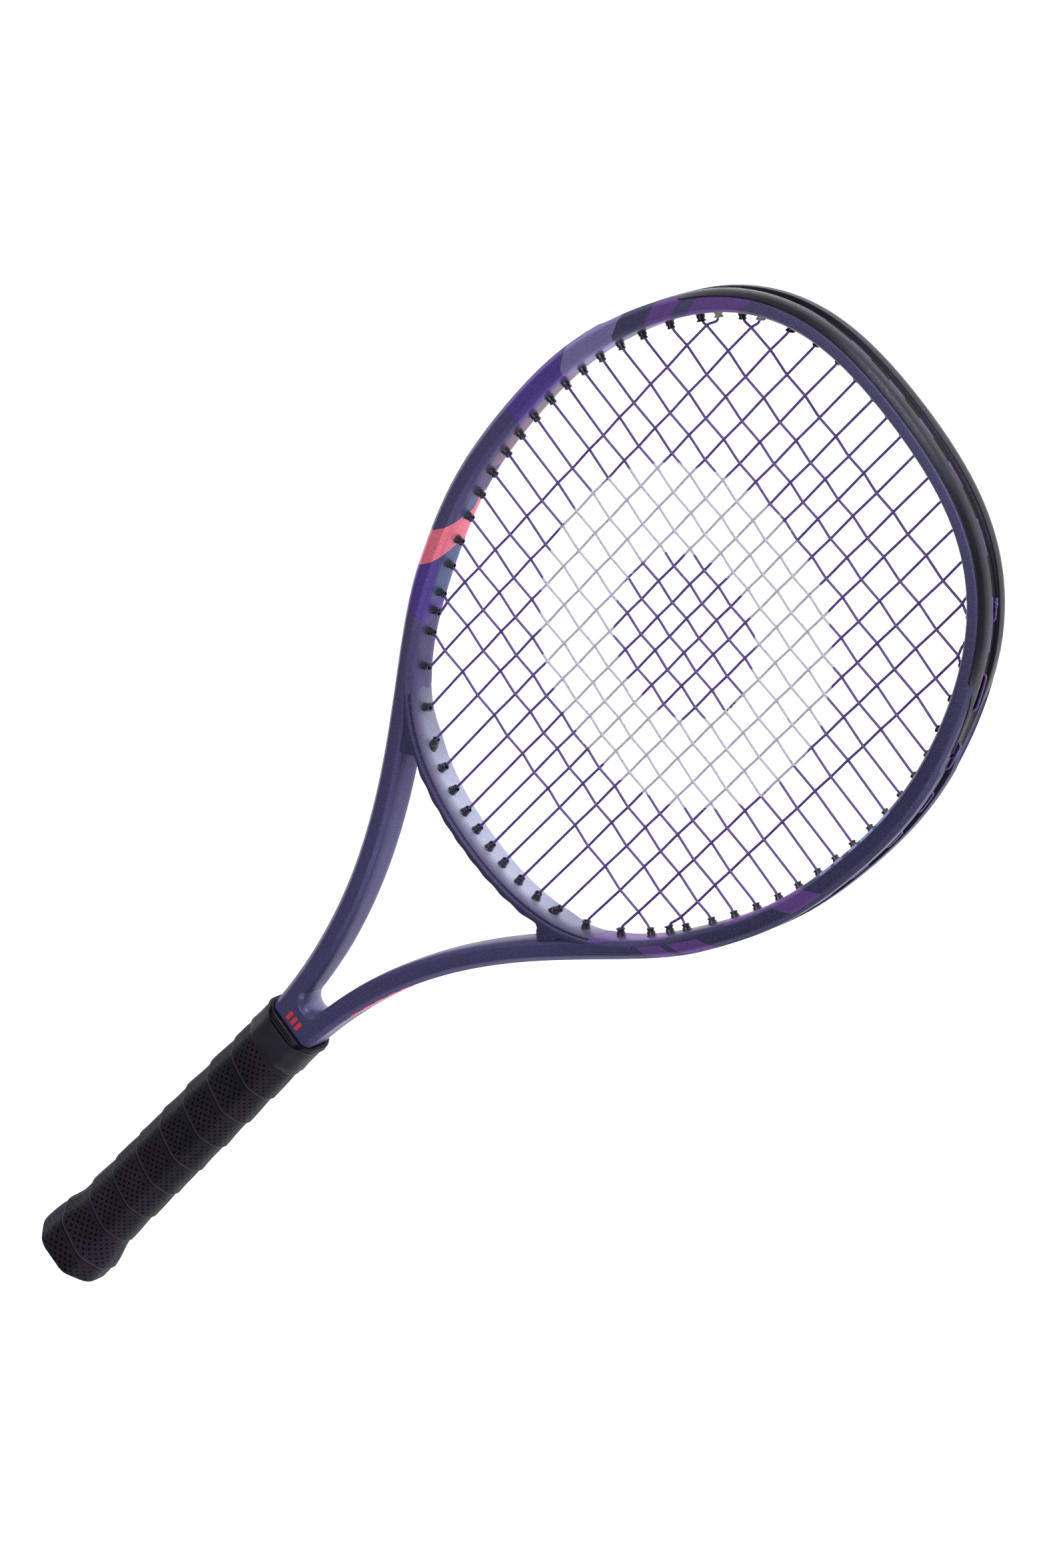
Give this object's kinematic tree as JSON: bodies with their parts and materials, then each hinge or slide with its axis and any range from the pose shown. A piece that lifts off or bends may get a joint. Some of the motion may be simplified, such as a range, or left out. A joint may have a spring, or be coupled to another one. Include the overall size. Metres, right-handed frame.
{
  "type": "tennis racket",
  "caption": "Strung tennis racket: hollow oval hoop on an open throat, woven string bed, grommets, bumper guard and a wrapped eight-sided handle.",
  "frame": {"origin": "centre of the flat end face of the butt", "axes": "+X along the handle to the tip of the head, +Y to the left side of the head, +Z the normal of the string bed"},
  "size_m": [0.6859, 0.2706, 0.0368],
  "materials": {
    "frame_hairpin": "matte metallic paint on carbon fibre",
    "throat_bridge": "matte metallic paint on carbon fibre",
    "throat_wedge": "matte metallic paint on carbon fibre",
    "foam": "rigid foam",
    "pallet": "moulded foam",
    "bumper": "satin nylon",
    "grommet": "satin nylon",
    "string": "glossy monofilament",
    "butt_cap": "satin",
    "emblem": "gloss",
    "staple": "plain wire",
    "grip": "perforated synthetic leather",
    "tape": "satin vinyl",
    "collar": "glossy rubber"
  },
  "bodies": {
    "root": {"frame_hairpin": "frame_hairpin", "throat_bridge": "throat_bridge", "throat_wedge": "throat_wedge", "bridge_foam_core": "foam", "hairpin_plug_left": "foam", "hairpin_plug_right": "foam", "handle_spacer_foam": "foam", "handle_pallet_top": "pallet", "handle_pallet_bottom": "pallet", "bumper_guard": "bumper", "side_grommet_strip_left": "grommet", "side_grommet_strip_right": "grommet", "throat_grommet_strip": "grommet", "main_string": "string", "cross_string": "string", "butt_cap": "butt_cap", "butt_cap_emblem": "emblem", "butt_cap_staple_1": "staple", "butt_cap_staple_2": "staple", "butt_cap_staple_3": "staple", "butt_cap_staple_4": "staple", "grip_wrap": "grip", "finishing_tape": "tape", "rubber_collar": "collar"}
  },
  "joints": []
}
